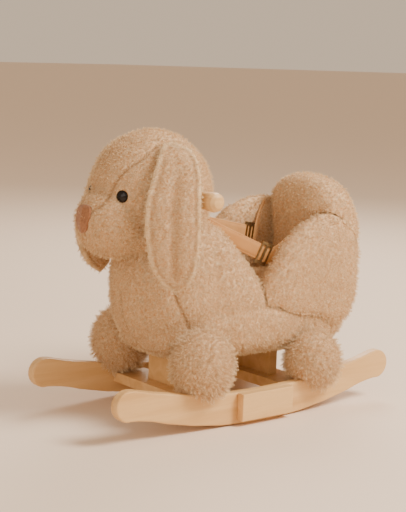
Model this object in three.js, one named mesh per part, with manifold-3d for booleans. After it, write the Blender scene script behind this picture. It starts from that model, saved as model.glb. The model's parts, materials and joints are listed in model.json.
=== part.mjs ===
// Plush bunny rocker: a stuffed lop-eared bunny with a bucket seat, on two wooden rockers.
// Millimetres. +X is forward (towards the head), +Y is the bunny's left, +Z is up.
// The origin is on the floor, midway along the rockers.

import * as THREE from 'three';
import { mergeVertices } from 'three/addons/utils/BufferGeometryUtils.js';
import Module from 'manifold-3d';

const wasm = await Module();
wasm.setup();

// ---------------------------------------------------------------- driving dimensions

const GAP = 0.3;                    // left between wooden pieces that touch
const SOFT_GAP = 0.5;               // left around and between stuffed pieces

const ROCKER_LENGTH = 620;
const ROCKER_OUTER_Y = 140;         // outer face of each rocker
const ROCKER_THICK = 18;
const ROCKER_RADIUS = 850;          // of the rolling edge
const ROCKER_FACET = 60;            // length of each flat along the rolling edge
const ROCKER_MID_HEIGHT = 57;
const ROCKER_EDGE = 2.5;            // edge rounding
const NOSE_RADIUS = 26.5;
const NOSE_HEIGHT = 66;             // height of the nose's centre

const CROSS_X = 105;                // cross-board centres, front and rear
const CROSS_DEPTH = 66;
const CROSS_THICK = 18;
const CROSS_TOP = 50;
const BOLT_Z = CROSS_TOP - CROSS_THICK / 2;
const BOLT_LENGTH = 52;
const BOLT_RECESS = 0.6;            // bolt head, below the rocker's outer face
const NUT_INSET = 30;               // barrel nut, in from the cross-board's end
const DOWEL_OFFSET = 20;            // dowel, outboard of the bolt

const UPRIGHT_X = 103;
const UPRIGHT_THICK = 18;
const UPRIGHT_WIDTH = 96;
const SEAT_BOARD_LOW = 136;
const SEAT_BOARD_HIGH = 148;
const SCREW_LENGTH = 40;
const SCREW_Y = 30;

const HANDLE_X = 117.6;
const HANDLE_Z = 391;
const HANDLE_RADIUS = 15;
const HANDLE_HALF = 148;
const NECK_BOARD_THICK = 18;
const NECK_BOARD_TOP_RADIUS = 38;
const BACK_BOARD_X = -216;
const BACK_BOARD_THICK = 12;
const BACK_BOARD_HALF = 62;

const HEAD = { x: 151, z: 395, rx: 109, ry: 96, rz: 109 };
const MUZZLE = { x: 226, z: 351, rx: 66, ry: 64, rz: 63 };
const JAW = { x: 165, z: 335, rx: 85, ry: 80, rz: 52 };
const EYE = { x: 241.5, y: 45.5, z: 397 };
const EYE_RADIUS = 11;
const NOSE_PATCH = { low: 333, high: 380, half: 19 };
const CHEST = { x: 100, z: 215, rx: 112, ry: 99, up: 150, down: 111, lift: 40, bib: 20 };
const SADDLE = { front: 120, rear: -84, half: 101, low: 110, high: 347, foot: 238, footX: -50, slope: 1.16 };
const TRUNK = { front: 182, rear: -272, half: 104, low: 103, high: 212, drop: 0.14 };
const CUSHION = { x: -230, z: 279, rx: 59, ry: 105, rz: 140 };
const BOLSTER = { front: -26, rear: -275, y: 83, half: 26, low: 135, tilt: 0.17, crest: -195 };
// The bolsters run back along the cushion's sides, and their undersides drop by the tilt towards the rear.
// The left bolster slopes away and the right one keeps its height further forward.
const BOLSTER_TOP = { left: { high: 356, fall: 0.0043 }, right: { high: 373, fall: 0.0013 } };
const PAD = { front: -48, rear: -196, half: 58, low: 160, high: 237 };

const FRONT_PAW = { x: 123, y: 122, z: 111, rx: 57, ry: 50, rz: 64 };
const REAR_PAW = { x: -132, y: 122, z: 89, rx: 54, ry: 50, rz: 57 };

const EAR_TWIST = 0.44;             // the ear's front edge turns in towards the face
const EAR_TURN = { left: 0, right: 0.34 };     // how much of that twist its lower half loses
const EAR_HALF_WIDTH = 53;
const EAR_HALF_THICK = 11;

const STRAP_WIDTH = 30;
const STRAP_THICK = 2.4;
const ADJUSTER = { across: 42, along: 22, thick: 6.8, windowAcross: 31.6, windowThick: 3.8 };

const PLAQUE = { length: 115, low: 9.6, high: 58, thick: 16 };

// ---------------------------------------------------------------- colours and finishes

const finishes = {
  wood: new THREE.MeshStandardMaterial({ color: 0xd9b98a, roughness: 0.55 }),
  plywood: new THREE.MeshStandardMaterial({ color: 0xcfae7d, roughness: 0.7 }),
  plush: new THREE.MeshStandardMaterial({ color: 0xcda582, roughness: 1.0 }),
  strap: new THREE.MeshStandardMaterial({ color: 0xc8965f, roughness: 0.7 }),
  bronze: new THREE.MeshStandardMaterial({ color: 0x5a503c, roughness: 0.4, metalness: 1.0 }),
  steel: new THREE.MeshStandardMaterial({ color: 0xb8b8ba, roughness: 0.35, metalness: 1.0 }),
  eye: new THREE.MeshStandardMaterial({ color: 0x0c0a0a, roughness: 0.08 }),
  washer: new THREE.MeshStandardMaterial({ color: 0xe6e4de, roughness: 0.5 }),
  nose: new THREE.MeshStandardMaterial({ color: 0xaf7850, roughness: 0.9 }),
};

// ---------------------------------------------------------------- solids

function toSolid(geometry) {
  const bare = geometry.clone();
  bare.deleteAttribute('normal');
  bare.deleteAttribute('uv');
  const merged = mergeVertices(bare, 1e-4);
  return new wasm.Manifold(new wasm.Mesh({
    numProp: 3,
    vertProperties: new Float32Array(merged.attributes.position.array),
    triVerts: new Uint32Array(merged.index.array),
  }));
}

function toGeometry(solid) {
  const mesh = solid.getMesh();
  const geometry = new THREE.BufferGeometry();
  geometry.setAttribute('position', new THREE.BufferAttribute(new Float32Array(mesh.vertProperties), 3));
  geometry.setIndex(new THREE.BufferAttribute(new Uint32Array(mesh.triVerts), 1));
  geometry.computeVertexNormals();
  return geometry;
}

function cut(solid, tools) {
  return tools.reduce((rest, tool) => rest.subtract(tool), solid);
}

function join(solids) {
  return solids.reduce((all, next) => all.add(next));
}

// A cut can leave loose slivers: only the biggest lump is the piece.
function biggest(solid) {
  const lumps = solid.decompose();
  lumps.sort((a, b) => b.volume() - a.volume());
  return lumps[0];
}

const toy = new THREE.Group();
const sections = {};
for (const name of ['base', 'frame', 'plush', 'face', 'ears', 'harness']) {
  sections[name] = new THREE.Group();
  sections[name].name = `${name}_section`;
  toy.add(sections[name]);
}

// Each piece is drawn about its own middle, then placed in its section.
function place(section, name, solid, finish) {
  const geometry = toGeometry(solid);
  geometry.computeBoundingBox();
  const middle = geometry.boundingBox.getCenter(new THREE.Vector3());
  geometry.translate(-middle.x, -middle.y, -middle.z);
  const mesh = new THREE.Mesh(geometry, finishes[finish].clone());
  mesh.name = name;
  mesh.position.copy(middle);
  sections[section].add(mesh);
}

// ---------------------------------------------------------------- shape helpers

function box(x0, x1, y0, y1, z0, z1) {
  const geometry = new THREE.BoxGeometry(x1 - x0, y1 - y0, z1 - z0);
  geometry.translate((x0 + x1) / 2, (y0 + y1) / 2, (z0 + z1) / 2);
  return toSolid(geometry);
}

// A solid turned about its own Y axis, from (radius, height) pairs that start and end on the axis.
function turned(profile, segments) {
  return new THREE.LatheGeometry(profile.map(([r, h]) => new THREE.Vector2(r, h)), segments);
}

// A round rod along Y, centred on a point.
function rodAlongY(x, y, z, radius, length, segments) {
  const geometry = new THREE.CylinderGeometry(radius, radius, length, segments);
  geometry.translate(x, y, z);
  return toSolid(geometry);
}

function rodAlongZ(x, y, low, high, radius, segments) {
  const geometry = new THREE.CylinderGeometry(radius, radius, high - low, segments);
  geometry.rotateX(Math.PI / 2);
  geometry.translate(x, y, (low + high) / 2);
  return toSolid(geometry);
}

// A flat board drawn as seen from the side (X across, Z up), from y0 to y1.
function boardAcrossY(shape, y0, y1, edge = 0) {
  const geometry = new THREE.ExtrudeGeometry(shape, {
    depth: y1 - y0 - 2 * edge,
    bevelEnabled: edge > 0,
    bevelThickness: edge,
    bevelSize: edge,
    bevelOffset: -edge,
    bevelSegments: 2,
    curveSegments: 8,
  });
  geometry.rotateX(Math.PI / 2);
  geometry.translate(0, y1 - edge, 0);
  return toSolid(geometry);
}

// A closed lump from a unit sphere: every vertex goes through warp(x, y, z).
// A power above 2 makes the sphere boxier first.
function lump(around, along, power, warp) {
  const geometry = new THREE.SphereGeometry(1, around, along);
  const position = geometry.attributes.position;
  for (let i = 0; i < position.count; i += 1) {
    const [x, y, z] = [position.getX(i), position.getY(i), position.getZ(i)];
    const sum = Math.abs(x) ** power + Math.abs(y) ** power + Math.abs(z) ** power;
    const scale = sum ** (-1 / power);
    const [wx, wy, wz] = warp(x * scale, y * scale, z * scale);
    position.setXYZ(i, wx, wy, wz);
  }
  return toSolid(geometry);
}

function ellipsoid(shape, side, grow, around, along) {
  const y0 = (shape.y ?? 0) * side;
  return lump(around, along, 2, (x, y, z) => [
    shape.x + x * (shape.rx + grow),
    y0 + y * (shape.ry + grow),
    shape.z + z * (shape.rz + grow),
  ]);
}

// A wood screw with a countersunk head: its head's top at z = 0, pointing down.
function screw(grow) {
  const geometry = turned([
    [0, grow],
    [4 + grow, grow],
    [4 + grow, -0.4],
    [2 + grow, -3],
    [2 + grow, -SCREW_LENGTH + 4],
    [0, -SCREW_LENGTH - grow],
  ].reverse(), 8);
  geometry.rotateX(Math.PI / 2);
  return geometry;
}

function screwAt(x, y, z, pointsUp, grow = 0) {
  const geometry = screw(grow);
  if (pointsUp) {
    geometry.rotateX(Math.PI);
  }
  geometry.translate(x, y, z);
  return toSolid(geometry);
}

// ---------------------------------------------------------------- outer shapes, with room to grow

// Above its widest level the chest stays full at the front, right up to the chin.
function chestShape(grow) {
  return lump(22, 14, 2, (x, y, z) => {
    const front = Math.max(0, x);
    const above = Math.max(0, z);
    const rise = z > 0 ? CHEST.up + CHEST.lift * front : CHEST.down;
    return [
      CHEST.x + x * (CHEST.rx + grow) + CHEST.bib * front * above,
      y * (CHEST.ry + grow),
      CHEST.z + z * (rise + grow),
    ];
  });
}

function trunkTop(x) {
  return TRUNK.high + Math.min(0, x + 30) * TRUNK.drop;
}

function trunkShape(grow) {
  const middle = (TRUNK.front + TRUNK.rear) / 2;
  const half = (TRUNK.front - TRUNK.rear) / 2 + grow;
  return lump(22, 12, 3.5, (x, y, z) => {
    const wx = middle + x * half;
    const low = TRUNK.low - grow;
    const high = trunkTop(wx) + grow;
    return [wx, y * (TRUNK.half + grow), low + (z + 1) / 2 * (high - low)];
  });
}

// The slope from the back of the neck down to the front of the seat.
function saddleShape(grow) {
  const middle = (SADDLE.front + SADDLE.rear) / 2;
  const half = (SADDLE.front - SADDLE.rear) / 2 + grow;
  return lump(18, 12, 3, (x, y, z) => {
    const wx = middle + x * half;
    const slope = SADDLE.foot + SADDLE.slope * (wx - SADDLE.footX);
    const high = THREE.MathUtils.clamp(slope, SADDLE.foot, SADDLE.high) + grow;
    const low = SADDLE.low - grow;
    const wz = low + (z + 1) / 2 * (high - low);
    const taper = 0.12 * Math.max(0, wz - CHEST.z);
    return [wx, y * (SADDLE.half + grow - taper), wz];
  });
}

function bodyShape(grow) {
  return join([trunkShape(grow), chestShape(grow), saddleShape(grow)]);
}

function headShape(grow) {
  return join([
    ellipsoid(HEAD, 1, grow, 22, 14),
    ellipsoid(MUZZLE, 1, grow, 16, 10),
    ellipsoid(JAW, 1, grow, 16, 8),
  ]);
}

function cushionShape(grow) {
  return lump(20, 12, 2.8, (x, y, z) => [
    CUSHION.x + x * (CUSHION.rx + grow) + 12 * Math.max(0, z) ** 2,
    y * (CUSHION.ry + grow),
    CUSHION.z + z * (CUSHION.rz + grow),
  ]);
}

// The bolster's top edge rises towards the back and levels out where it meets the cushion.
function bolsterTop(side, x) {
  const top = side > 0 ? BOLSTER_TOP.left : BOLSTER_TOP.right;
  return top.high - top.fall * Math.max(0, x - BOLSTER.crest) ** 2;
}

function bolsterShape(side, grow) {
  const middle = (BOLSTER.front + BOLSTER.rear) / 2;
  const half = (BOLSTER.front - BOLSTER.rear) / 2 + grow;
  return lump(18, 12, 3, (x, y, z) => {
    const wx = middle + x * half;
    const low = BOLSTER.low + BOLSTER.tilt * x * half - grow;
    const high = bolsterTop(side, wx) + grow;
    return [wx, BOLSTER.y * side + y * (BOLSTER.half + grow), low + (z + 1) / 2 * (high - low)];
  });
}

function padShape() {
  const middle = (PAD.front + PAD.rear) / 2;
  const half = (PAD.front - PAD.rear) / 2;
  return lump(16, 8, 4, (x, y, z) => [
    middle + x * half,
    y * PAD.half,
    PAD.low + (z + 1) / 2 * (PAD.high - PAD.low),
  ]);
}

function neckBoardOutline(grow) {
  const shape = new THREE.Shape();
  const radius = NECK_BOARD_TOP_RADIUS + grow;
  shape.moveTo(44 - grow, SEAT_BOARD_HIGH + GAP - grow);
  shape.lineTo(130 + grow, SEAT_BOARD_HIGH + GAP - grow);
  shape.lineTo(HANDLE_X + radius, HANDLE_Z);
  shape.absarc(HANDLE_X, HANDLE_Z, radius, 0, Math.PI, false);
  shape.closePath();
  return shape;
}

function neckBoardShape(grow) {
  const half = NECK_BOARD_THICK / 2 + grow;
  return boardAcrossY(neckBoardOutline(grow), -half, half);
}

function backBoardShape(grow) {
  const shape = new THREE.Shape();
  const half = BACK_BOARD_HALF + grow;
  const low = SEAT_BOARD_HIGH + GAP - grow;
  shape.moveTo(-half, low);
  shape.lineTo(half, low);
  shape.lineTo(half, 322);
  shape.absarc(0, 322, half, 0, Math.PI, false);
  shape.closePath();
  const geometry = new THREE.ExtrudeGeometry(shape, {
    depth: BACK_BOARD_THICK + 2 * grow,
    bevelEnabled: false,
    curveSegments: 8,
  });
  geometry.rotateX(Math.PI / 2);
  geometry.rotateZ(Math.PI / 2);
  geometry.translate(BACK_BOARD_X - BACK_BOARD_THICK / 2 - grow, 0, 0);
  return toSolid(geometry);
}

function seatBoardShape(grow) {
  return box(-228 - grow, 134 + grow, -60 - grow, 60 + grow, SEAT_BOARD_LOW - grow, SEAT_BOARD_HIGH + grow);
}

function uprightShape(x, grow) {
  const half = UPRIGHT_THICK / 2 + grow;
  const wide = UPRIGHT_WIDTH / 2 + grow;
  return box(x - half, x + half, -wide, wide, CROSS_TOP + GAP - grow, SEAT_BOARD_LOW - GAP + grow);
}

// ---------------------------------------------------------------- rockers and cross-boards

function rockerOutline() {
  const half = ROCKER_LENGTH / 2;
  const noseX = half - NOSE_RADIUS;
  const rise = (x) => ROCKER_RADIUS - Math.sqrt(ROCKER_RADIUS ** 2 - x ** 2);
  const lift = rise(ROCKER_FACET / 2);
  const bottom = [];
  for (let x = ROCKER_FACET / 2; x <= 3.5 * ROCKER_FACET; x += ROCKER_FACET) {
    bottom.push([x, rise(x) - lift]);
  }
  const bend = new THREE.QuadraticBezierCurve(
    new THREE.Vector2(...bottom.at(-1)),
    new THREE.Vector2(246, 38),
    new THREE.Vector2(noseX - 5, NOSE_HEIGHT - NOSE_RADIUS + 0.5),
  );
  for (const point of bend.getPoints(5).slice(1)) {
    bottom.push([point.x, point.y]);
  }
  for (let degrees = -84; degrees <= 96; degrees += 15) {
    const angle = THREE.MathUtils.degToRad(degrees);
    bottom.push([noseX + NOSE_RADIUS * Math.cos(angle), NOSE_HEIGHT + NOSE_RADIUS * Math.sin(angle)]);
  }
  const top = new THREE.SplineCurve([
    [noseX - 12, 91.2], [240, 83.5], [190, 74], [145, 66.5], [100, 61], [50, 58], [0, ROCKER_MID_HEIGHT],
  ].map(([x, z]) => new THREE.Vector2(x, z)));
  const right = bottom.concat(top.getPoints(11).map((point) => [point.x, point.y]));
  const left = right.slice(0, -1).reverse().map(([x, z]) => [-x, z]);
  return new THREE.Shape(right.concat(left).map(([x, z]) => new THREE.Vector2(x, z)));
}

function rockerShape(side, grow = 0) {
  const inner = ROCKER_OUTER_Y - ROCKER_THICK - grow;
  const outer = ROCKER_OUTER_Y + grow;
  const [y0, y1] = side > 0 ? [inner, outer] : [-outer, -inner];
  return boardAcrossY(rockerOutline(), y0, y1, grow > 0 ? 0 : ROCKER_EDGE);
}

// The rocker's upper edge, raised and widened, as a cutter for whatever sits over it.
function rockerClearance(side) {
  const raised = rockerShape(side, SOFT_GAP).translate([0, 0, SOFT_GAP]);
  return join([rockerShape(side, SOFT_GAP), raised]);
}

function bolt(grow) {
  const headRadius = 5.5 + grow;
  const shank = 3 + grow;
  return turned([
    [0, grow],
    [headRadius, grow],
    [headRadius, -5 - grow],
    [shank, -5 - grow],
    [shank, -BOLT_LENGTH - grow],
    [0, -BOLT_LENGTH - grow],
  ].reverse(), 14);
}

function boltAt(x, side, grow = 0) {
  const geometry = bolt(grow);
  if (side < 0) {
    geometry.rotateX(Math.PI);
  }
  geometry.translate(x, side * (ROCKER_OUTER_Y - BOLT_RECESS), BOLT_Z);
  return toSolid(geometry);
}

function crossBoard(x) {
  const inner = ROCKER_OUTER_Y - ROCKER_THICK - GAP;
  const shape = new THREE.Shape();
  const half = CROSS_DEPTH / 2;
  shape.moveTo(x - half, CROSS_TOP - CROSS_THICK);
  shape.lineTo(x + half, CROSS_TOP - CROSS_THICK);
  shape.lineTo(x + half, CROSS_TOP);
  shape.lineTo(x - half, CROSS_TOP);
  shape.closePath();
  return boardAcrossY(shape, -inner, inner, 1.5);
}

for (const side of [1, -1]) {
  const name = side > 0 ? 'left' : 'right';
  const ends = [CROSS_X, -CROSS_X];
  const tools = ends.flatMap((x) => [
    boltAt(x, side, 0.4),
    rodAlongY(x + Math.sign(x) * DOWEL_OFFSET, side * 122, BOLT_Z, 4 + GAP, 24, 10),
  ]);
  place('base', `${name}_rocker`, cut(rockerShape(side), tools), 'wood');
}

for (const x of [CROSS_X, -CROSS_X]) {
  const end = x > 0 ? 'front' : 'rear';
  const inner = ROCKER_OUTER_Y - ROCKER_THICK;
  const tools = [];
  for (const side of [1, -1]) {
    const name = `${end}_${side > 0 ? 'left' : 'right'}`;
    const nutY = side * (inner - NUT_INSET);
    const dowelX = x + Math.sign(x) * DOWEL_OFFSET;
    const socket = new THREE.CylinderGeometry(2.9, 2.9, 6, 6);
    socket.translate(x, side * (ROCKER_OUTER_Y - BOLT_RECESS), BOLT_Z);
    place('base', `rocker_bolt_${name}`, cut(boltAt(x, side), [toSolid(socket)]), 'steel');
    const nut = rodAlongZ(x, nutY, BOLT_Z - 7, BOLT_Z + 6, 5, 12);
    place('base', `barrel_nut_${name}`, cut(nut, [rodAlongY(x, nutY, BOLT_Z, 3.3, 20, 10)]), 'steel');
    place('base', `dowel_${name}`, rodAlongY(dowelX, side * inner, BOLT_Z, 4, 22, 10), 'wood');
    tools.push(boltAt(x, side, 0.4));
    tools.push(rodAlongZ(x, nutY, CROSS_TOP - CROSS_THICK - 1, BOLT_Z + 6 + GAP, 5 + GAP, 12));
    tools.push(rodAlongY(dowelX, side * (inner - 6), BOLT_Z, 4 + GAP, 24, 10));
  }
  for (const y of [SCREW_Y, -SCREW_Y]) {
    tools.push(screwAt(Math.sign(x) * UPRIGHT_X, y, CROSS_TOP - CROSS_THICK, true, GAP));
  }
  place('base', `${end}_crossboard`, cut(crossBoard(x), tools), 'wood');
}

const plaqueShape = new THREE.Shape();
const plaqueHalf = PLAQUE.length / 2;
plaqueShape.moveTo(-plaqueHalf, PLAQUE.low);
plaqueShape.lineTo(plaqueHalf, PLAQUE.low);
plaqueShape.lineTo(plaqueHalf, PLAQUE.high);
plaqueShape.lineTo(-plaqueHalf, PLAQUE.high);
plaqueShape.closePath();
const plaqueY = ROCKER_OUTER_Y + GAP;
place('base', 'side_plaque', boardAcrossY(plaqueShape, plaqueY, plaqueY + PLAQUE.thick, 1.5), 'wood');

// ---------------------------------------------------------------- frame inside the plush

const seatScrews = [];
for (const x of [UPRIGHT_X, -UPRIGHT_X]) {
  const end = x > 0 ? 'front' : 'rear';
  const footScrews = [];
  const headScrews = [];
  for (const y of [SCREW_Y, -SCREW_Y]) {
    const side = y > 0 ? 'left' : 'right';
    place('frame', `${end}_upright_screw_${side}`, screwAt(x, y, CROSS_TOP - CROSS_THICK, true), 'steel');
    place('frame', `${end}_seat_screw_${side}`, screwAt(x, y, SEAT_BOARD_HIGH, false), 'steel');
    footScrews.push(screwAt(x, y, CROSS_TOP - CROSS_THICK, true, GAP));
    headScrews.push(screwAt(x, y, SEAT_BOARD_HIGH, false, GAP));
  }
  seatScrews.push(...headScrews);
  place('frame', `${end}_upright`, cut(uprightShape(x, 0), footScrews.concat(headScrews)), 'wood');
}

const backScrews = [];
for (const y of [35, -35]) {
  const side = y > 0 ? 'left' : 'right';
  place('frame', `back_board_screw_${side}`, screwAt(BACK_BOARD_X, y, SEAT_BOARD_LOW, true), 'steel');
  backScrews.push(screwAt(BACK_BOARD_X, y, SEAT_BOARD_LOW, true, GAP));
}
place('frame', 'back_board', cut(backBoardShape(0), backScrews), 'plywood');

const neckScrews = [];
for (const x of [58, 80]) {
  const end = x > 70 ? 'front' : 'rear';
  place('frame', `neck_board_screw_${end}`, screwAt(x, 0, SEAT_BOARD_LOW, true), 'steel');
  neckScrews.push(screwAt(x, 0, SEAT_BOARD_LOW, true, GAP));
}
place('frame', 'seat_board', cut(seatBoardShape(0), seatScrews.concat(backScrews, neckScrews)), 'plywood');

const handleScrewZ = HANDLE_Z + NECK_BOARD_TOP_RADIUS - 0.5;
const handleScrew = screwAt(HANDLE_X, 0, handleScrewZ, false, GAP);
const handleHole = rodAlongY(HANDLE_X, 0, HANDLE_Z, HANDLE_RADIUS + SOFT_GAP, 320, 20);
const neckBoard = cut(neckBoardShape(0), neckScrews.concat([handleScrew, handleHole]));
place('frame', 'neck_board', biggest(neckBoard), 'plywood');

const knob = HANDLE_RADIUS + 2;
const handle = turned([
  [0, -HANDLE_HALF],
  [knob * 0.55, -HANDLE_HALF + 1.5],
  [knob * 0.88, -HANDLE_HALF + 6],
  [knob, -HANDLE_HALF + 13],
  [knob * 0.96, -HANDLE_HALF + 21],
  [HANDLE_RADIUS, -HANDLE_HALF + 34],
  [HANDLE_RADIUS, HANDLE_HALF - 34],
  [knob * 0.96, HANDLE_HALF - 21],
  [knob, HANDLE_HALF - 13],
  [knob * 0.88, HANDLE_HALF - 6],
  [knob * 0.55, HANDLE_HALF - 1.5],
  [0, HANDLE_HALF],
], 20);
handle.translate(HANDLE_X, 0, HANDLE_Z);
place('frame', 'handle_dowel', cut(toSolid(handle), [handleScrew]), 'wood');
place('frame', 'handle_screw', screwAt(HANDLE_X, 0, handleScrewZ, false), 'steel');

// ---------------------------------------------------------------- stuffed body and seat

const pockets = [
  neckBoardShape(SOFT_GAP),
  backBoardShape(SOFT_GAP),
  seatBoardShape(SOFT_GAP),
  uprightShape(UPRIGHT_X, SOFT_GAP),
  uprightShape(-UPRIGHT_X, SOFT_GAP),
];
const bodyRoom = bodyShape(SOFT_GAP);
const cushionRoom = cushionShape(SOFT_GAP);
const headRoom = headShape(SOFT_GAP);
place('plush', 'body', biggest(cut(bodyShape(0), pockets)), 'plush');

const bolsterRooms = [];
for (const side of [1, -1]) {
  const name = side > 0 ? 'left' : 'right';
  const tools = [bodyRoom, backBoardShape(SOFT_GAP)];
  place('plush', `${name}_bolster`, biggest(cut(bolsterShape(side, 0), tools)), 'plush');
  bolsterRooms.push(bolsterShape(side, SOFT_GAP));
}
const cushionTools = [bodyRoom, backBoardShape(SOFT_GAP), ...bolsterRooms];
place('plush', 'back_cushion', biggest(cut(cushionShape(0), cushionTools)), 'plush');
const padTools = [bodyRoom, cushionRoom, ...bolsterRooms, ...pockets];
place('plush', 'seat_pad', biggest(cut(padShape(), padTools)), 'plush');

// ---------------------------------------------------------------- paws

const pawTools = [
  bodyRoom,
  rockerClearance(1),
  rockerClearance(-1),
  box(CROSS_X - 34, CROSS_X + 34, -123, 123, CROSS_TOP - CROSS_THICK - 1, CROSS_TOP + SOFT_GAP),
  box(-CROSS_X - 34, -CROSS_X + 34, -123, 123, CROSS_TOP - CROSS_THICK - 1, CROSS_TOP + SOFT_GAP),
];
for (const [end, paw] of [['front', FRONT_PAW], ['rear', REAR_PAW]]) {
  for (const side of [1, -1]) {
    const name = `${end}_${side > 0 ? 'left' : 'right'}_paw`;
    place('plush', name, biggest(cut(ellipsoid(paw, side, 0, 18, 10), pawTools)), 'plush');
  }
}

// ---------------------------------------------------------------- head, eyes and nose

// The eye looks along the head's outward normal: a dome in front, a shank and a washer behind.
function eyeDirection(side) {
  return new THREE.Vector3(
    (EYE.x - HEAD.x) / HEAD.rx ** 2,
    side * EYE.y / HEAD.ry ** 2,
    (EYE.z - HEAD.z) / HEAD.rz ** 2,
  ).normalize();
}

function onEye(geometry, side) {
  const turn = new THREE.Quaternion().setFromUnitVectors(new THREE.Vector3(0, 1, 0), eyeDirection(side));
  geometry.applyQuaternion(turn);
  geometry.translate(EYE.x, side * EYE.y, EYE.z);
  return toSolid(geometry);
}

function eyeShape(side, grow) {
  const radius = EYE_RADIUS + grow;
  return onEye(turned([
    [0, -18 - grow],
    [2.5 + grow, -18 - grow],
    [2.5 + grow, -2.5 - grow],
    [radius * 0.8, -2.5 - grow],
    [radius, -0.5],
    [radius * 0.94, 2.4],
    [radius * 0.72, 4.9],
    [radius * 0.38, 6.5],
    [0, 7 + grow],
  ], 14), side);
}

function washerShape(side, grow) {
  return onEye(turned([
    [0, -13 - grow],
    [10 + grow, -13 - grow],
    [10 + grow, -11 + grow],
    [0, -11 + grow],
  ], 14), side);
}

const headTools = [bodyRoom, neckBoardShape(SOFT_GAP), handleHole];
for (const side of [1, -1]) {
  const name = side > 0 ? 'left' : 'right';
  headTools.push(eyeShape(side, 0.4), washerShape(side, 0.4));
  place('face', `${name}_eye`, eyeShape(side, 0), 'eye');
  place('face', `${name}_eye_washer`, cut(washerShape(side, 0), [eyeShape(side, 0.15)]), 'washer');
}
place('plush', 'head', biggest(cut(headShape(0), headTools)), 'plush');

// The nose patch: a rounded triangle, point down, lying on the front of the muzzle.
function nosePrism() {
  const shape = new THREE.Shape();
  const { low, high, half } = NOSE_PATCH;
  const waist = (low + high) / 2;
  shape.moveTo(0, low);
  shape.quadraticCurveTo(half * 0.8, low + 2, half * 0.95, waist);
  shape.quadraticCurveTo(half * 1.2, high - 2, half * 0.5, high);
  shape.quadraticCurveTo(0, high + 2, -half * 0.5, high);
  shape.quadraticCurveTo(-half * 1.2, high - 2, -half * 0.95, waist);
  shape.quadraticCurveTo(-half * 0.8, low + 2, 0, low);
  const geometry = new THREE.ExtrudeGeometry(shape, { depth: 60, bevelEnabled: false, curveSegments: 4 });
  geometry.rotateX(Math.PI / 2);
  geometry.rotateZ(Math.PI / 2);
  geometry.translate(250, 0, 0);
  return toSolid(geometry);
}
const nose = nosePrism().intersect(headShape(3.5)).subtract(headShape(0.3));
place('face', 'nose', biggest(nose), 'nose');

// ---------------------------------------------------------------- ears

// Each ear hangs along a line, from its root seam over the side of the head to its tip.
// The right ear hangs a little further forward.
const earLines = {
  left: earCurve([
    [158, 60, 488], [163, 86, 473], [174, 104, 435], [186, 112, 385],
    [186, 114, 330], [181, 112, 280], [172, 109, 236],
  ]),
  right: earCurve([
    [158, 60, 488], [163, 86, 473], [174, 103, 435], [184, 112, 385],
    [189, 117, 330], [184, 118, 285], [176, 114, 238],
  ]),
};

function earCurve(points) {
  return new THREE.CatmullRomCurve3(points.map((point) => new THREE.Vector3(...point)));
}

// Half the width along the ear: a rounded top, widest below the middle, a blunt point at the tip.
function earWidth(t) {
  const swell = Math.sin(Math.PI * t) ** 0.5;
  return EAR_HALF_WIDTH * swell * (0.72 + 0.36 * t);
}

function earShape(side) {
  const name = side > 0 ? 'left' : 'right';
  return lump(14, 14, 2, (x, y, z) => {
    const angle = Math.acos(THREE.MathUtils.clamp(y, -1, 1)) / Math.PI;
    const twist = EAR_TWIST - EAR_TURN[name] * THREE.MathUtils.smoothstep(angle, 0.45, 0.85);
    const along = new THREE.Vector3(Math.cos(twist), -side * Math.sin(twist), 0);
    const across = new THREE.Vector3(Math.sin(twist), side * Math.cos(twist), 0);
    const centre = earLines[name].getPoint(angle);
    centre.y *= side;
    const ring = Math.max(Math.hypot(x, z), 1e-6);
    const flat = Math.sqrt(Math.max(0, 1 - (2 * angle - 1) ** 6));
    const offsetAlong = (x / ring) * earWidth(angle);
    const offsetAcross = -side * (z / ring) * EAR_HALF_THICK * flat;
    return centre.addScaledVector(along, offsetAlong).addScaledVector(across, offsetAcross).toArray();
  });
}

for (const side of [1, -1]) {
  const name = side > 0 ? 'left' : 'right';
  place('ears', `${name}_ear`, biggest(cut(earShape(side), [headRoom])), 'plush');
}

// ---------------------------------------------------------------- harness

const harness = {
  left: { neck: [52, 10, 338], adjuster: [-70, 47, 279], back: [-160, 74, 342] },
  right: { neck: [52, -10, 338], adjuster: [-110, -44, 302], back: [-170, -70, 346] },
};

// A frame that runs from one point to another: X along the strap, Y across it, Z through it.
function strapFrame(from, to) {
  const along = new THREE.Vector3().subVectors(to, from).normalize();
  const across = new THREE.Vector3(0, 0, 1).addScaledVector(along, -along.z).normalize();
  const through = new THREE.Vector3().crossVectors(along, across);
  return { along, across, through };
}

function boxOnStrap(frame, centre, length, width, thick) {
  const geometry = new THREE.BoxGeometry(length, width, thick);
  geometry.applyMatrix4(new THREE.Matrix4().makeBasis(frame.along, frame.across, frame.through));
  geometry.translate(centre.x, centre.y, centre.z);
  return toSolid(geometry);
}

function strapBetween(from, to) {
  const middle = new THREE.Vector3().addVectors(from, to).multiplyScalar(0.5);
  return boxOnStrap(strapFrame(from, to), middle, from.distanceTo(to), STRAP_WIDTH, STRAP_THICK);
}

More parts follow.
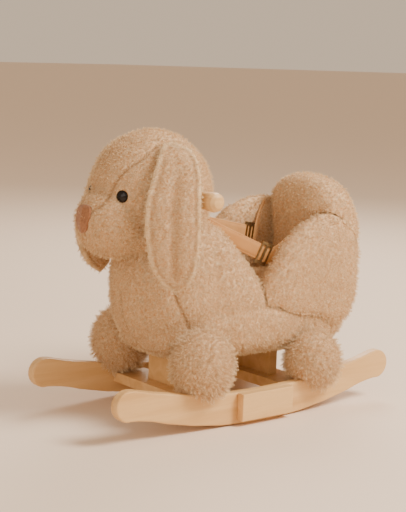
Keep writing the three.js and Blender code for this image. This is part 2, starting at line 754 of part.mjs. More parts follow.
const harnessTools = [bodyRoom, headRoom, cushionRoom, ...bolsterRooms];
for (const [name, run] of Object.entries(harness)) {
  const neck = new THREE.Vector3(...run.neck);
  const adjuster = new THREE.Vector3(...run.adjuster);
  const back = new THREE.Vector3(...run.back);
  const frame = strapFrame(neck, adjuster);
  const frontEnd = adjuster.clone().addScaledVector(frame.along, ADJUSTER.along / 2 - 2);
  const blockCentre = adjuster.clone().addScaledVector(frame.along, -20);
  const block = boxOnStrap(frame, blockCentre, ADJUSTER.along + 45, 90, 90);
  const front = cut(strapBetween(neck, frontEnd), harnessTools);
  const side = cut(strapBetween(adjuster, back), [block, ...harnessTools]);
  place('harness', `${name}_front_strap`, biggest(front), 'strap');
  place('harness', `${name}_side_strap`, biggest(side), 'strap');
  const ring = boxOnStrap(frame, adjuster, ADJUSTER.along, ADJUSTER.across, ADJUSTER.thick);
  const windowSize = [ADJUSTER.along + 4, ADJUSTER.windowAcross, ADJUSTER.windowThick];
  const slots = [-1, 1].map((end) => boxOnStrap(
    frame,
    adjuster.clone().addScaledVector(frame.along, end * 5.2),
    6,
    ADJUSTER.windowAcross,
    ADJUSTER.thick * 2,
  ));
  const windows = [boxOnStrap(frame, adjuster, ...windowSize), ...slots];
  place('harness', `${name}_adjuster`, cut(ring, windows), 'bronze');
}

export default toy;
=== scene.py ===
"""A plush lop-eared bunny rocker: soft pieces, fur, wood, harness, camera and light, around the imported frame.

Metres. +X is forward, +Y is the bunny's left, +Z is up, and the floor is at Z = 0.
"""

import json
import math

import bmesh
import bpy
import numpy as np
from mathutils import Matrix, Vector
from mathutils.bvhtree import BVHTree
from mathutils.kdtree import KDTree


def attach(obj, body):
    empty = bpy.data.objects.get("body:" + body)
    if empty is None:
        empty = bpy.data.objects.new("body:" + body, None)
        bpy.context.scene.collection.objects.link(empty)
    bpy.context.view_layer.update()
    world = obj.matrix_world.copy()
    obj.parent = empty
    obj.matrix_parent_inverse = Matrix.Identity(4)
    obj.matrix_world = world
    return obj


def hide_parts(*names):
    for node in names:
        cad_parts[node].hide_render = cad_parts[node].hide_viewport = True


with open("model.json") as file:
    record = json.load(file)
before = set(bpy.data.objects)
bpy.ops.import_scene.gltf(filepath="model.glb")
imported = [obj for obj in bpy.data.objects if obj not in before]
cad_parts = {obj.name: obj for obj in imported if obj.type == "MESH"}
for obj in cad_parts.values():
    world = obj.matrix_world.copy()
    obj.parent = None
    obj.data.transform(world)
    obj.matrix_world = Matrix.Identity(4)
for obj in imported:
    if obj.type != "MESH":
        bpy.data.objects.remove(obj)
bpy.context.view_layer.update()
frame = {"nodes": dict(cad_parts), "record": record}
scene = bpy.context.scene

MM = 0.001
SIDES = {"left": 1, "right": -1}

# ---------------------------------------------------------------- camera

CAMERA_PLACE = Vector((1.453, 1.799, 0.640))
CAMERA_YAW = math.radians(38.3)       # how far the view turns from straight along -Y towards -X
CAMERA_PITCH = math.radians(9.04)     # how far it looks down
CAMERA_ROLL = math.radians(1.75)
CAMERA_LENS = 90.9


def make_camera():
    data = bpy.data.cameras.new("camera")
    data.lens = CAMERA_LENS
    data.sensor_width = 36
    data.sensor_fit = "AUTO"
    data.clip_end = 50
    camera = bpy.data.objects.new("camera", data)
    scene.collection.objects.link(camera)
    flat = math.cos(CAMERA_PITCH)
    ahead = Vector((-math.sin(CAMERA_YAW) * flat, -math.cos(CAMERA_YAW) * flat, -math.sin(CAMERA_PITCH)))
    right = Vector((-math.cos(CAMERA_YAW), math.sin(CAMERA_YAW), 0))
    up = right.cross(ahead)
    tilted_right = right * math.cos(CAMERA_ROLL) + up * math.sin(CAMERA_ROLL)
    tilted_up = tilted_right.cross(ahead)
    turn = Matrix((tilted_right, tilted_up, -ahead)).transposed()
    camera.matrix_world = Matrix.Translation(CAMERA_PLACE) @ turn.to_4x4()
    scene.camera = camera


# ---------------------------------------------------------------- floor and light

FLOOR_HALF = 40.0
FLOOR_COLOUR = (0.84, 0.68, 0.53, 1)
WORLD_COLOUR = (0.86, 0.66, 0.48, 1)
WORLD_STRENGTH = 0.85
LIGHTS_AIM = (0, 0, 0.25)
# name, place, size across, power in watts, colour
LIGHTS = [
    ("key", (-1.3, 1.8, 2.3), 1.2, 138, (1.0, 0.95, 0.88)),
    ("fill", (2.4, 1.6, 1.2), 2.4, 20, (1.0, 0.96, 0.91)),
    ("back", (-1.6, -1.6, 1.9), 1.4, 42, (1.0, 0.96, 0.92)),
]

def make_floor():
    mesh = bpy.data.meshes.new("floor")
    half = FLOOR_HALF
    corners = [(-half, -half, 0), (half, -half, 0), (half, half, 0), (-half, half, 0)]
    mesh.from_pydata(corners, [], [(0, 1, 2, 3)])
    floor = bpy.data.objects.new("floor", mesh)
    scene.collection.objects.link(floor)
    material = bpy.data.materials.new("floor_pale")
    material.use_nodes = True
    shader = material.node_tree.nodes["Principled BSDF"]
    shader.inputs["Base Color"].default_value = FLOOR_COLOUR
    shader.inputs["Roughness"].default_value = 0.9
    mesh.materials.append(material)


def area_light(name, place, size, power, colour):
    data = bpy.data.lights.new(name, "AREA")
    data.shape = "DISK"
    data.size = size
    data.energy = power
    data.color = colour
    light = bpy.data.objects.new(name, data)
    scene.collection.objects.link(light)
    light.location = place
    light.rotation_euler = (Vector(LIGHTS_AIM) - Vector(place)).to_track_quat("-Z", "Y").to_euler()


def make_lights():
    for light in LIGHTS:
        area_light(*light)
    world = bpy.data.worlds.new("studio")
    world.use_nodes = True
    background = world.node_tree.nodes["Background"]
    background.inputs["Color"].default_value = WORLD_COLOUR
    background.inputs["Strength"].default_value = WORLD_STRENGTH
    scene.world = world


# ---------------------------------------------------------------- material helpers

# Sockets of a Mix node set to colours, which share their names with its other kinds
MIX_FACTOR, MIX_A, MIX_B = 0, 6, 7
MIX_RESULT = 2

class Shader:
    """A Principled material whose nodes are added one at a time."""

    def __init__(self, name, roughness, metallic=0.0):
        self.material = bpy.data.materials.new(name)
        self.material.use_nodes = True
        self.tree = self.material.node_tree
        self.surface = self.tree.nodes["Principled BSDF"]
        self.surface.inputs["Roughness"].default_value = roughness
        self.surface.inputs["Metallic"].default_value = metallic
        self.place = self.tree.nodes.new("ShaderNodeTexCoord").outputs["Object"]

    def link(self, start, end):
        self.tree.links.new(start, end)

    def node(self, kind, **values):
        node = self.tree.nodes.new(kind)
        for key, value in values.items():
            setattr(node, key, value)
        return node

    def mapped(self, scale):
        node = self.node("ShaderNodeMapping")
        node.inputs["Scale"].default_value = scale
        self.link(self.place, node.inputs["Vector"])
        return node.outputs["Vector"]

    def noise(self, scale, detail=3.0, rough=0.5, vector=None, distortion=0.0):
        node = self.node("ShaderNodeTexNoise")
        node.inputs["Scale"].default_value = scale
        node.inputs["Detail"].default_value = detail
        node.inputs["Roughness"].default_value = rough
        node.inputs["Distortion"].default_value = distortion
        self.link(vector or self.place, node.inputs["Vector"])
        return node.outputs["Fac"]

    def ramp(self, value, stops):
        node = self.node("ShaderNodeValToRGB")
        points = node.color_ramp.elements
        while len(points) < len(stops):
            points.new(0.5)
        for point, (position, colour) in zip(points, stops):
            point.position = position
            point.color = (*colour, 1)
        self.link(value, node.inputs["Fac"])
        return node.outputs["Color"]

    def mix(self, factor, a, b):
        node = self.node("ShaderNodeMix", data_type="RGBA")
        for number, value in ((MIX_FACTOR, factor), (MIX_A, a), (MIX_B, b)):
            if isinstance(value, tuple):
                node.inputs[number].default_value = (*value, 1)
            else:
                self.link(value, node.inputs[number])
        return node.outputs[MIX_RESULT]

    def times(self, value, share):
        node = self.node("ShaderNodeMath", operation="MULTIPLY")
        self.link(value, node.inputs[0])
        node.inputs[1].default_value = share
        return node.outputs["Value"]

    def colour(self, value):
        self.link(value, self.surface.inputs["Base Color"])

    def roughness(self, value, low, high):
        node = self.node("ShaderNodeMapRange")
        self.link(value, node.inputs["Value"])
        node.inputs["To Min"].default_value = low
        node.inputs["To Max"].default_value = high
        self.link(node.outputs["Result"], self.surface.inputs["Roughness"])

    def bump(self, height, strength, distance):
        node = self.node("ShaderNodeBump")
        node.inputs["Strength"].default_value = strength
        node.inputs["Distance"].default_value = distance
        self.link(height, node.inputs["Height"])
        self.link(node.outputs["Normal"], self.surface.inputs["Normal"])


def srgb(red, green, blue):
    """A colour as the eye names it, 0 to 255, in the renderer's linear units."""
    return tuple(
        (c / 255 / 12.92) if c / 255 <= 0.04045 else ((c / 255 + 0.055) / 1.055) ** 2.4
        for c in (red, green, blue)
    )


# ---------------------------------------------------------------- materials


# Noise scales of the pile, in cycles per metre
PATCHES = 14
CURLS = 170
TUFTS = 260
BLACK = (0.0, 0.0, 0.0)
WHITE = (1.0, 1.0, 1.0)


def scaled(colour, factor):
    return tuple(min(1, c * factor) for c in colour)


def plush_material(name, tips, roots):
    """Curly pile. The same material colours the cloth below and the strands that grow from it."""
    shader = Shader(name, 0.95)
    shader.surface.inputs["Sheen Weight"].default_value = 0.12
    shader.surface.inputs["Sheen Roughness"].default_value = 0.5
    shader.surface.inputs["Specular IOR Level"].default_value = 0.12
    patches = shader.noise(PATCHES, 3)
    curls = shader.noise(CURLS, 3, 0.6, distortion=1.5)
    tufts = shader.noise(TUFTS, 4, 0.65, distortion=1.2)
    dull = scaled(tips, 0.82)
    tip = shader.mix(patches, tips, dull)
    cloth = shader.ramp(tufts, [(0.38, roots), (0.66, dull)])

    hair = shader.node("ShaderNodeHairInfo")
    # Painted shade low in the pile: each strand takes the root colour at its base, turning to the tip colour
    # towards its end.
    along = shader.ramp(hair.outputs["Intercept"], [(0.0, BLACK), (0.8, WHITE)])
    strand = shader.mix(along, roots, tip)
    strand = shader.mix(shader.times(hair.outputs["Random"], 0.3), strand, scaled(tips, 1.15))
    pile = shader.mix(hair.outputs["Is Strand"], cloth, strand)

    # Painted shade between the curls: where the curl noise is low, the pile is darkened towards a deeper tone
    # of the tips.
    speckle = shader.ramp(curls, [(0.36, scaled(WHITE, 0.8)), (0.52, BLACK)])
    pile = shader.mix(speckle, pile, scaled(tips, 0.62))
    # The dark layer holds painted shade in the seam grooves and the ears' rim grooves and folds, plus a
    # slightly darker outer ear panel. The pale layer lightens the ear rims.
    dark = shader.node("ShaderNodeVertexColor", layer_name="dark").outputs["Color"]
    pale = shader.node("ShaderNodeVertexColor", layer_name="pale").outputs["Color"]
    pile = shader.mix(shader.times(pale, 0.25), pile, scaled(tips, 1.12))
    shader.colour(shader.mix(shader.times(dark, 0.55), pile, scaled(roots, 0.6)))
    shader.bump(tufts, 0.5, 1.5 * MM)
    return shader.material


GRAIN = (1.0, 14, 14)     # how much finer the wood pattern is across the grain than along it


def wood_material(name, pale, dark):
    """Clear-finished birch with its grain along X: long soft bands, fine pores, and a slight colour drift."""
    shader = Shader(name, 0.45)
    bands = shader.noise(2.6, 5, 0.55, shader.mapped(GRAIN), 0.6)
    pores = shader.noise(26, 3, 0.6, shader.mapped(tuple(s * 1.6 for s in GRAIN)))
    between = tuple((a + b) / 2 for a, b in zip(pale, dark))
    base = shader.ramp(bands, [(0.32, pale), (0.52, between), (0.70, dark)])
    drift = shader.noise(5, 2)
    base = shader.mix(shader.times(drift, 0.35), base, pale)
    base = shader.mix(shader.times(pores, 0.22), base, scaled(dark, 0.62))
    shader.colour(base)
    shader.roughness(bands, 0.38, 0.55)
    shader.surface.inputs["Coat Weight"].default_value = 0.12
    shader.surface.inputs["Coat Roughness"].default_value = 0.3
    shader.bump(pores, 0.12, 0.3 * MM)
    return shader.material


def plywood_material():
    """Birch plywood, with its plies stacked along Z."""
    shader = Shader("plywood", 0.7)
    plies = shader.noise(3, 2, 0.4, shader.mapped((1, 1, 160)))
    shader.colour(shader.ramp(plies, [(0.35, srgb(214, 184, 140)), (0.6, srgb(176, 138, 92))]))
    shader.bump(shader.noise(300, 2), 0.15, 0.3 * MM)
    return shader.material


def strap_material():
    shader = Shader("strap_webbing", 0.62)
    shader.surface.inputs["Sheen Weight"].default_value = 0.15
    weave = shader.node("ShaderNodeTexWave", wave_type="BANDS", bands_direction="DIAGONAL")
    weave.inputs["Scale"].default_value = 420
    weave.inputs["Distortion"].default_value = 1.5
    shader.link(shader.place, weave.inputs["Vector"])
    worn = shader.noise(28, 4)
    base = shader.ramp(worn, [(0.3, srgb(196, 136, 70)), (0.7, srgb(214, 156, 88))])
    shader.colour(shader.mix(shader.times(weave.outputs["Fac"], 0.25), base, srgb(150, 104, 60)))
    shader.bump(weave.outputs["Fac"], 0.35, 0.4 * MM)
    return shader.material


def thread_material():
    shader = Shader("strap_thread", 0.7)
    shader.colour(shader.ramp(shader.noise(900, 2), [(0.3, srgb(206, 164, 116)), (0.7, srgb(228, 192, 148))]))
    return shader.material


def metal_material(name, colour, roughness, speckle):
    shader = Shader(name, roughness, 1.0)
    spots = shader.noise(420, 3)
    shader.colour(shader.ramp(spots, [(0.35, scaled(colour, 1 - speckle)), (0.65, colour)]))
    shader.roughness(spots, roughness * 0.8, roughness * 1.3)
    shader.bump(spots, 0.08, 0.2 * MM)
    return shader.material


def eye_material():
    shader = Shader("eye_black", 0.06)
    shader.surface.inputs["Specular IOR Level"].default_value = 0.35
    depth = shader.noise(90, 2)
    shader.colour(shader.ramp(depth, [(0.4, (0.003, 0.0025, 0.0025)), (0.7, (0.012, 0.009, 0.008))]))
    return shader.material


def washer_material():
    shader = Shader("washer_nylon", 0.5)
    shader.colour(shader.ramp(shader.noise(120, 2), [(0.3, srgb(226, 222, 212)), (0.7, srgb(238, 236, 230))]))
    return shader.material


def suede_material():
    shader = Shader("nose_suede", 0.92)
    nap = shader.noise(260, 4, 0.6)
    drift = shader.noise(60, 2)
    base = shader.ramp(nap, [(0.3, srgb(124, 76, 44)), (0.7, srgb(176, 120, 78))])
    shader.colour(shader.mix(shader.times(drift, 0.4), base, srgb(150, 98, 62)))
    shader.surface.inputs["Sheen Weight"].default_value = 0.3
    shader.bump(nap, 0.5, 0.6 * MM)
    return shader.material


# ---------------------------------------------------------------- mesh helpers


def points_of(obj):
    flat = np.empty(len(obj.data.vertices) * 3)
    obj.data.vertices.foreach_get("co", flat)
    return flat.reshape(-1, 3)


def set_points(obj, points):
    obj.data.vertices.foreach_set("co", np.ascontiguousarray(points).ravel())
    obj.data.update()


def applied(obj):
    """Bakes obj's modifiers into its mesh."""
    graph = bpy.context.evaluated_depsgraph_get()
    mesh = bpy.data.meshes.new_from_object(obj.evaluated_get(graph))
    obj.modifiers.clear()
    obj.data = mesh


def copy_of(node, name):
    """A new piece with the shape of a CAD node, its corners welded."""
    mesh = frame["nodes"][node].data.copy()
    mesh.materials.clear()
    obj = bpy.data.objects.new(name, mesh)
    scene.collection.objects.link(obj)
    work = bmesh.new()
    work.from_mesh(mesh)
    bmesh.ops.remove_doubles(work, verts=work.verts, dist=1e-6)
    work.to_mesh(mesh)
    work.free()
    return obj


def outer_shell(obj):
    """Keeps only the biggest connected shell, so pockets inside a stuffed piece go."""
    work = bmesh.new()
    work.from_mesh(obj.data)
    left = set(work.verts)
    shells = []
    while left:
        seed = left.pop()
        shell, edge = {seed}, [seed]
        while edge:
            for link in edge.pop().link_edges:
                for vert in link.verts:
                    if vert in left:
                        left.remove(vert)
                        shell.add(vert)
                        edge.append(vert)
        shells.append(shell)
    shells.sort(key=len)
    bmesh.ops.delete(work, geom=[v for shell in shells[:-1] for v in shell], context="VERTS")
    work.to_mesh(obj.data)
    work.free()


PULL, PUSH = 0.5, -0.52     # how far one smoothing step moves a vertex towards and away from its neighbours


def relaxed(obj, rounds):
    """Smooths obj without shrinking it: each round pulls the vertices together, then pushes them apart."""
    pairs = np.empty(len(obj.data.edges) * 2, dtype=np.int32)
    obj.data.edges.foreach_get("vertices", pairs)
    start, end = pairs.reshape(-1, 2).T
    points = points_of(obj)
    links = np.bincount(start, minlength=len(points)) + np.bincount(end, minlength=len(points))
    for _ in range(rounds):
        for factor in (PULL, PUSH):
            around = np.column_stack([
                np.bincount(start, points[end, axis], len(points))
                + np.bincount(end, points[start, axis], len(points))
                for axis in range(3)
            ])
            points = points + factor * (around / links[:, None] - points)
    set_points(obj, points)


def softened(obj, voxel, rounds):
    """Remeshes obj evenly and smooths it, so facets and hard joins turn into stuffed cloth."""
    remesh = obj.modifiers.new("even", "REMESH")
    remesh.mode = "VOXEL"
    remesh.voxel_size = voxel
    applied(obj)
    outer_shell(obj)
    relaxed(obj, rounds)


def refined(obj):
    subdivide = obj.modifiers.new("finer", "SUBSURF")
    subdivide.levels = 1
    subdivide.render_levels = 1
    applied(obj)


def tufted(obj, depth, size):
    """Pushes the surface in and out in small curly lumps, as pile does."""
    for number, (scale, share) in enumerate(((size, 0.6), (size * 2.6, 0.4))):
        texture = bpy.data.textures.new(f"{obj.name}_tufts_{number}", "CLOUDS")
        texture.noise_scale = scale
        texture.noise_depth = 2
        displace = obj.modifiers.new(f"tufts_{number}", "DISPLACE")
        displace.texture = texture
        displace.texture_coords = "LOCAL"
        displace.strength = depth * share * 2
        displace.mid_level = 0.5
    applied(obj)


def shade_smooth(obj):
    obj.data.polygons.foreach_set("use_smooth", [True] * len(obj.data.polygons))
    obj.data.update()


def area_of(obj):
    return sum(p.area for p in obj.data.polygons)


def spline_span(points, i, steps):
    """Samples of a smooth curve between points i and i + 1, which are given in millimetres."""
    knots = np.array(points, float) * MM
    ends = np.vstack((2 * knots[0] - knots[1], knots, 2 * knots[-1] - knots[-2]))
    a, b, c, d = ends[i:i + 4]
    square = 2 * a - 5 * b + 4 * c - d
    cube = 3 * b - a - 3 * c + d
    return [0.5 * (2 * b + (c - a) * t + square * t * t + cube * t ** 3) for t in steps]


def along_curve(points, step=1.5 * MM):
    """Even samples on a smooth curve through points given in millimetres."""
    samples = []
    for i in range(len(points) - 1):
        span = np.linalg.norm(np.subtract(points[i + 1], points[i])) * MM
        count = max(2, int(span / step))
        samples += spline_span(points, i, np.arange(count) / count)
    samples.append(np.array(points[-1], float) * MM)
    return samples


def mirrored(points, side):
    return [(x, y * side, z) for x, y, z in points]


def tree_of(points):
    tree = KDTree(len(points))
    for i, point in enumerate(points):
        tree.insert(point, i)
    tree.balance()
    return tree


def distances(obj, points):
    """How far each vertex of obj is from the nearest of the points."""
    tree = tree_of(points)
    return np.array([tree.find(v.co)[2] for v in obj.data.vertices])


def on_surface(obj, points):
    surface = BVHTree.FromObject(obj, bpy.context.evaluated_depsgraph_get())
    return [surface.find_nearest(Vector(point))[0] for point in points]


def normals_of(obj):
    return np.array([v.normal for v in obj.data.vertices])


def seam_closeness(obj, seams, width):
    """1 on a seam, falling to 0 a few widths away."""
    if not seams:
        return np.zeros(len(obj.data.vertices))
    samples = [p for seam in seams for p in on_surface(obj, along_curve(seam))]
    return np.exp(-(distances(obj, samples) / width) ** 2)


def node_points(*names):
    """Points spread over some CAD nodes' surfaces, in metres."""
    points = []
    for name in names:
        mesh = frame["nodes"][name].data
        points += [v.co.copy() for v in mesh.vertices]
        points += [p.center.copy() for p in mesh.polygons]
    return points


def eased(value, low, high):
    t = np.clip((value - low) / (high - low), 0, 1)
    return t * t * (3 - 2 * t)


def painted(obj, name, values):
    """Stores a number per vertex as a colour, so cloth and strands both read it."""
    layer = obj.data.color_attributes.new(name, "BYTE_COLOR", "CORNER")
    corners = np.empty(len(obj.data.loops), dtype=np.int32)
    obj.data.loops.foreach_get("vertex_index", corners)
    chosen = values[corners]
    layer.data.foreach_set("color", np.column_stack([chosen] * 3 + [np.ones_like(chosen)]).ravel())


WEIGHT_LEVELS = 20


def weighted(obj, name, values):
    """Stores a number per vertex, from 0 to 1, as a vertex group with a few even levels."""
    group = obj.vertex_groups.new(name=name)
    for step in range(WEIGHT_LEVELS + 1):
        level = step / WEIGHT_LEVELS
        chosen = np.nonzero(np.abs(values - level) <= 0.5 / WEIGHT_LEVELS)[0]
        if len(chosen):
            group.add([int(i) for i in chosen], level, "REPLACE")


# ---------------------------------------------------------------- fur

FUR_PER_M2 = 48000
FUR_CHILDREN = 13
VELOCITY_TO_LENGTH = 4.0     # a strand grows this many metres for each unit of starting velocity
FUR_LIFT = 0.9               # the shares of that velocity that go outwards, at random, backwards and down
FUR_WILD = 0.45
FUR_LEAN = 0.10
FUR_DROOP = 0.25
CURL = 0.12                  # the width of a curl, as a share of the strand's length
TANGLE = 0.15
TANGLE_SIZE = 0.006


def furred(obj, length, seed):
    """Grows short curly strands from obj."""
    obj.modifiers.new("fur", "PARTICLE_SYSTEM")
    system = obj.particle_systems[-1]
    system.seed = seed
    system.vertex_group_length = "pile"
    system.vertex_group_density = "pile"
    fur = system.settings
    fur.type = "HAIR"
    fur.count = int(area_of(obj) * FUR_PER_M2)
    fur.hair_step = 4
    fur.use_advanced_hair = True
    fur.distribution = "RAND"
    fur.use_emit_random = True
    push = length / VELOCITY_TO_LENGTH
    fur.normal_factor = push * FUR_LIFT
    fur.factor_random = push * FUR_WILD
    fur.object_align_factor = (-FUR_LEAN * push, 0, -FUR_DROOP * push)
    fur.render_step = 3
    fur.display_step = 2
    fur.child_type = "INTERPOLATED"
    fur.rendered_child_count = FUR_CHILDREN
    fur.child_percent = FUR_CHILDREN
    fur.clump_factor = 0.85
    fur.clump_shape = -0.1
    fur.roughness_1 = length * CURL
    fur.roughness_1_size = TANGLE_SIZE
    fur.roughness_2 = length * TANGLE
    fur.roughness_2_size = TANGLE_SIZE
    fur.roughness_endpoint = length * CURL
    fur.kink = "CURL"
    fur.kink_amplitude = length * CURL
    fur.kink_frequency = 1.5
    fur.root_radius = 1.0
    fur.tip_radius = 0.3
    fur.radius_scale = 0.16 * MM


# ---------------------------------------------------------------- stuffed pieces

PRESSURE = 4
SIM_FRAMES = 20


def stuffed(obj, start_in, swell):
    """Fills obj like a cushion: it starts start_in smaller and the cloth swells out, at most swell in all."""
    set_points(obj, points_of(obj) - normals_of(obj) * start_in)
    before = points_of(obj)
    cloth = obj.modifiers.new("stuffing", "CLOTH")
    cloth.settings.use_pressure = True
    cloth.settings.uniform_pressure_force = PRESSURE
    cloth.settings.effector_weights.gravity = 0
    for number in range(1, SIM_FRAMES + 1):
        scene.frame_set(number)
    applied(obj)
    scene.frame_set(1)
    moved = points_of(obj) - before
    far = np.linalg.norm(moved, axis=1)
    share = np.minimum(1, swell / np.maximum(far, 1e-9))
    set_points(obj, before + moved * share[:, None])


SEAM_WIDTH = 2.6 * MM
SEAM_DEPTH = 2.6 * MM
PUCKER_WIDTH = 9 * MM
PUCKER_DEPTH = 1.6 * MM
SMOOTHING_ROUNDS = 14
TUFT_SIZE = 5 * MM
BARE_FROM, BARE_TO = 1 * MM, 6 * MM     # how near to the eyes and nose the pile starts, and where it is full


def plush_piece(node, body="frame", voxel=4 * MM, fur=6 * MM, tuft=1.6 * MM, seams=(), stuff=None,
                clear_of=(), shape=None):
    """One stuffed piece: its CAD solid softened, filled, sewn along its seams and covered in pile.

    fur is the strands' length and tuft the depth of the relief. stuff is what stuffed takes. clear_of names
    nodes that the pile keeps away from. shape returns moved points and the dark and pale values for them.
    """
    obj = copy_of(node, f"{node}_plush")
    softened(obj, voxel, SMOOTHING_ROUNDS)
    if stuff:
        stuffed(obj, *stuff)
    refined(obj)
    dark = np.zeros(len(obj.data.vertices))
    pale = np.zeros(len(obj.data.vertices))
    if shape:
        moved, dark, pale = shape(obj)
        set_points(obj, moved)
    groove = seam_closeness(obj, seams, SEAM_WIDTH)
    pucker = seam_closeness(obj, seams, PUCKER_WIDTH)
    depth = groove * SEAM_DEPTH + pucker * PUCKER_DEPTH
    set_points(obj, points_of(obj) - normals_of(obj) * depth[:, None])
    bare = np.zeros(len(obj.data.vertices))
    if clear_of:
        bare = 1 - eased(distances(obj, node_points(*clear_of)), BARE_FROM, BARE_TO)
    # Painted shade in the seam grooves: the groove darkens the pile's colour there, and the pile also grows
    # thinner.
    dark = np.maximum(dark, groove)
    weighted(obj, "pile", np.clip(1 - 0.5 * dark - bare, 0, 1))
    tufted(obj, tuft, TUFT_SIZE)
    painted(obj, "dark", dark)
    painted(obj, "pale", pale)
    obj.data.materials.clear()
    obj.data.materials.append(materials["plush"])
    shade_smooth(obj)
    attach(obj, body)
    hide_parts(node)
    furred(obj, fur, sum(map(ord, node)))


# ---------------------------------------------------------------- seams, in millimetres, on the left side

HEAD_GUSSET = [
    (60, 28, 455), (95, 40, 485), (130, 50, 495), (173, 53, 483), (212, 54, 458), (232, 46, 444),
    (247, 36, 425), (254, 30, 408), (259, 30, 396), (272, 30, 384), (286, 20, 372),
]
CHIN_SEAM = [(291, 0, 337), (285, 0, 322), (268, 0, 307), (240, 0, 294), (205, 0, 287)]
CHEST_SIDE_SEAM = [
    (140, 62, 290), (156, 78, 255), (155, 85, 228), (149, 88, 210), (136, 90, 187), (124, 90, 165),
]
CHEST_FRONT_SEAM = [(212, 0, 225), (206, 0, 185), (188, 0, 150), (160, 0, 122)]


def both_sides(seam):
    return [mirrored(seam, side) for side in SIDES.values()]


# ---------------------------------------------------------------- ears

# The middle line of each ear, from its seam to its tip, in millimetres. Both are given on the left side.
EAR_LINES = {
    "left": [
        (158, 60, 488), (163, 86, 473), (174, 104, 435), (186, 112, 385), (186, 114, 330), (181, 112, 280),
        (172, 109, 236),
    ],
    "right": [
        (158, 60, 488), (163, 86, 473), (174, 103, 435), (184, 112, 385), (189, 117, 330), (184, 118, 285),
        (176, 114, 238),
    ],
}
EAR_TWIST = 0.44                          # radians that an ear is turned about Z
EAR_TURN = {"left": 0, "right": 0.34}     # how much of that twist its lower half loses
EAR_HALF_WIDTH = 53 * MM
EAR_SAMPLES = 30                          # samples of the middle line in each span
EAR_EDGE = 3 * MM                         # how far from the middle surface a point is fully on a face
EAR_RIM = 12 * MM
RIM_WIDTH = 3.2 * MM
RIM_DEPTH = 2.4 * MM
PANEL_DEPTH = 2.2 * MM
FOLD_WIDTH = 11 * MM
FOLD_DEPTH = 5.0 * MM


def ear_shape(name, side):
    """Gives an ear its sewn rim, the panel set into it and the fold down its middle."""
    def shape(obj):
        knots = mirrored(EAR_LINES[name], side)
        line = []
        for i in range(len(knots) - 1):
            line += spline_span(knots, i, np.arange(EAR_SAMPLES) / EAR_SAMPLES)
        line = np.array(line)
        t_line = np.arange(len(line)) / len(line)
        twist = EAR_TWIST - EAR_TURN[name] * eased(t_line, 0.45, 0.85)
        level = np.zeros(len(twist))
        across = np.column_stack((np.cos(twist), -side * np.sin(twist), level))
        out = np.column_stack((np.sin(twist), side * np.cos(twist), level))
        leaf = np.sqrt(np.maximum(np.sin(math.pi * t_line), 0))
        half = EAR_HALF_WIDTH * leaf * (0.72 + 0.36 * t_line)
        outline = np.vstack([line + across * half[:, None] * way for way in (-1, 1)])
        points = points_of(obj)
        tree = tree_of(line)
        nearest = np.array([tree.find(p)[1] for p in points])
        t = t_line[nearest]
        away = points - line[nearest]
        sideways = (away * across[nearest]).sum(1)
        outer = np.clip((away * out[nearest]).sum(1) / EAR_EDGE, -1, 1)
        inset = distances(obj, outline)
        face = np.abs(outer)
        rim_line = np.exp(-((inset - EAR_RIM) / RIM_WIDTH) ** 2) * face
        panel = eased(inset, EAR_RIM - 1 * MM, EAR_RIM + 5 * MM) * face
        fold = np.exp(-(sideways / FOLD_WIDTH) ** 2) * eased(t, 0.16, 0.5) * (1 - eased(t, 0.84, 0.96))
        outer_side = np.maximum(outer, 0)
        depth = rim_line * RIM_DEPTH + panel * PANEL_DEPTH + fold * FOLD_DEPTH * outer_side
        # Painted shade in the rim's seam groove and down the fold's crease on the outer face; the outer panel
        # is a little darker as well.
        dark = np.clip(0.55 * rim_line + 0.35 * fold * outer_side + 0.15 * panel * outer_side, 0, 1)
        pale = np.clip(1 - panel - rim_line, 0, 1)
        return points - normals_of(obj) * depth[:, None], dark, pale
    return shape


# ---------------------------------------------------------------- harness, in millimetres

HARNESS = {
    "left": {"neck": (52, 10, 338), "adjuster": (-70, 47, 279), "back": (-152, 76, 318)},
    "right": {"neck": (52, -10, 338), "adjuster": (-110, -44, 302), "back": (-170, -70, 346)},
}
STRAP_HALF = 14.8        # half the width, and half the thickness in the middle and beside the stitches
STRAP_MIDDLE = 1.2
STRAP_EDGE = 1.1
STRAP_STEP = 3
STITCH_LINE = 12.2       # how far the stitches are from the middle
STITCH_GAP = 4.0
STITCH_HALF = 1.35
THREAD_HALF = 0.4
STITCH_LIFT = 0.95
NECK_TUCK = 14           # how far a strap runs on into the neck, past its adjuster, and into the back
ADJUSTER_REACH = 13
BACK_TUCK = 6
BEND_NEAR = 14           # how firmly it keeps its direction out of the adjuster, and into the back
BEND_FAR = 34


def level_across(along):
    """The direction of a strap's width: as near upright as its run allows."""
    across = np.array([0.0, 0.0, 1.0]) - along * along[2]
    return across / np.linalg.norm(across)


def unit(vector):
    return vector / np.linalg.norm(vector)


def strap_run(run):
    """Points and width directions along one strap: neck, through the adjuster, then up to the back."""
    neck, adjuster, back = (np.array(run[key], float) for key in ("neck", "adjuster", "back"))
    ahead = unit(adjuster - neck)
    away = unit(back - adjuster)
    start = neck - ahead * NECK_TUCK
    leave = adjuster + ahead * ADJUSTER_REACH
    count = int(np.linalg.norm(leave - start) / STRAP_STEP)
    points = [start + (leave - start) * i / count for i in range(count)]
    widths = [level_across(ahead)] * count
    a, b, c, d = leave, leave + ahead * BEND_NEAR, back - away * BEND_FAR, back + away * BACK_TUCK
    steps = int(np.linalg.norm(d - a) / STRAP_STEP)
    for i in range(steps + 1):
        s = i / steps
        r = 1 - s
        points.append(r ** 3 * a + 3 * r * r * s * b + 3 * r * s * s * c + s ** 3 * d)
        turn = s * s * (3 - 2 * s)
        widths.append(unit(level_across(ahead) * (1 - turn) + level_across(away) * turn))
    return points, widths


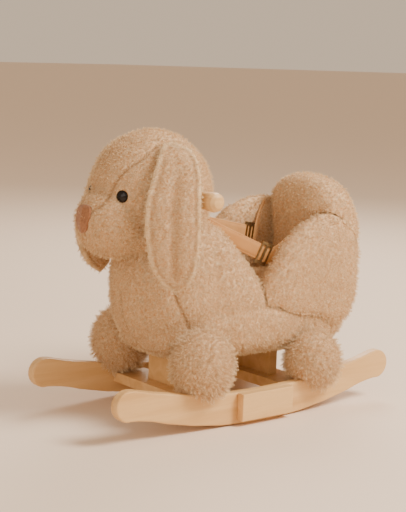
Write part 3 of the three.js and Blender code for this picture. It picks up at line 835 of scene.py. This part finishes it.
def strap_section():
    """The webbing cut across: crowned, thin at its edges, with a channel under each stitch line."""
    top = [
        (-STRAP_HALF, 0.0), (-STRAP_HALF + 0.3, 0.6), (-STRAP_HALF + 1.0, 0.95),
        (-STITCH_LINE - 0.6, STRAP_EDGE), (-STITCH_LINE, 0.75), (-STITCH_LINE + 0.6, STRAP_EDGE),
        (-6, 1.15), (0, STRAP_MIDDLE),
    ]
    top += [(-u, v) for u, v in reversed(top[:-1])]
    return top + [(u, -v) for u, v in reversed(top[1:-1])]


def add_stitches(work, points, widths):
    """Short raised threads along both edges, on both faces."""
    size = Matrix.Diagonal((STITCH_HALF * MM, THREAD_HALF * MM, THREAD_HALF * MM, 1))
    run = 0.0
    for i in range(1, len(points)):
        run += np.linalg.norm(points[i] - points[i - 1])
        if run < STITCH_GAP:
            continue
        run = 0.0
        along = unit(points[i] - points[i - 1])
        width = unit(widths[i] - along * (widths[i] @ along))
        through = np.cross(along, width)
        for edge in (-STITCH_LINE, STITCH_LINE):
            for face in (-1, 1):
                middle = points[i] + width * edge + through * face * STITCH_LIFT
                turn = Matrix(list(zip(along, width, through))).to_4x4()
                place = Matrix.Translation(Vector(middle * MM)) @ turn @ size
                made = bmesh.ops.create_icosphere(work, subdivisions=1, radius=1, matrix=place)
                for vert in made["verts"]:
                    for polygon in vert.link_faces:
                        polygon.material_index = 1


def make_strap(side):
    """One continuous webbing, from the neck through its adjuster to the back, with its stitches."""
    points, widths = strap_run(HARNESS[side])
    section = strap_section()
    work = bmesh.new()
    rings = []
    for i, (point, width) in enumerate(zip(points, widths)):
        along = unit(points[min(i + 1, len(points) - 1)] - points[max(i - 1, 0)])
        level = unit(width - along * (width @ along))
        through = np.cross(along, level)
        rings.append([work.verts.new((point + level * u + through * v) * MM) for u, v in section])
    for near, far in zip(rings, rings[1:]):
        for i in range(len(section)):
            j = (i + 1) % len(section)
            work.faces.new((near[i], near[j], far[j], far[i]))
    work.faces.new(list(reversed(rings[0])))
    work.faces.new(rings[-1])
    bmesh.ops.recalc_face_normals(work, faces=work.faces)
    add_stitches(work, points, widths)
    mesh = bpy.data.meshes.new(f"{side}_strap")
    work.to_mesh(mesh)
    work.free()
    obj = bpy.data.objects.new(f"{side}_strap", mesh)
    scene.collection.objects.link(obj)
    mesh.materials.append(materials["strap"])
    mesh.materials.append(materials["thread"])
    shade_smooth(obj)
    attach(obj, "frame")
    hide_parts(f"{side}_front_strap", f"{side}_side_strap")


# ---------------------------------------------------------------- the object

materials = {
    "plush": plush_material("plush_pile", srgb(255, 227, 184), srgb(196, 142, 90)),
    "wood": wood_material("birch", srgb(236, 194, 134), srgb(206, 156, 92)),
    "plywood": plywood_material(),
    "strap": strap_material(),
    "bronze": metal_material("antique_bronze", srgb(150, 130, 96), 0.34, 0.4),
    "steel": metal_material("zinc_steel", srgb(196, 196, 198), 0.3, 0.2),
    "eye": eye_material(),
    "washer": washer_material(),
    "thread": thread_material(),
    "suede": suede_material(),
}


def dress_cad_nodes():
    """Gives every CAD node that stays visible its material."""
    slots = {s["node"]: s["material_slot"] for s in frame["record"]["subparts"]}
    for name, obj in frame["nodes"].items():
        obj.data.materials.clear()
        obj.data.materials.append(materials[slots[name]])


make_camera()
make_floor()
make_lights()
dress_cad_nodes()

plush_piece("body", seams=both_sides(CHEST_SIDE_SEAM) + [CHEST_FRONT_SEAM])
plush_piece("head", seams=both_sides(HEAD_GUSSET) + [CHIN_SEAM], clear_of=("nose", "left_eye", "right_eye"))
plush_piece("back_cushion", stuff=(3 * MM, 5 * MM))
plush_piece("seat_pad", stuff=(3 * MM, 3.5 * MM))
for side, sign in SIDES.items():
    plush_piece(f"{side}_bolster", stuff=(3 * MM, 4 * MM))
    plush_piece(f"{side}_ear", body=f"{side}_ear", voxel=3 * MM, fur=5 * MM, shape=ear_shape(side, sign))
    make_strap(side)
    for end in ("front", "rear"):
        plush_piece(f"{end}_{side}_paw", stuff=(3 * MM, 4 * MM), fur=10 * MM, tuft=2.4 * MM)
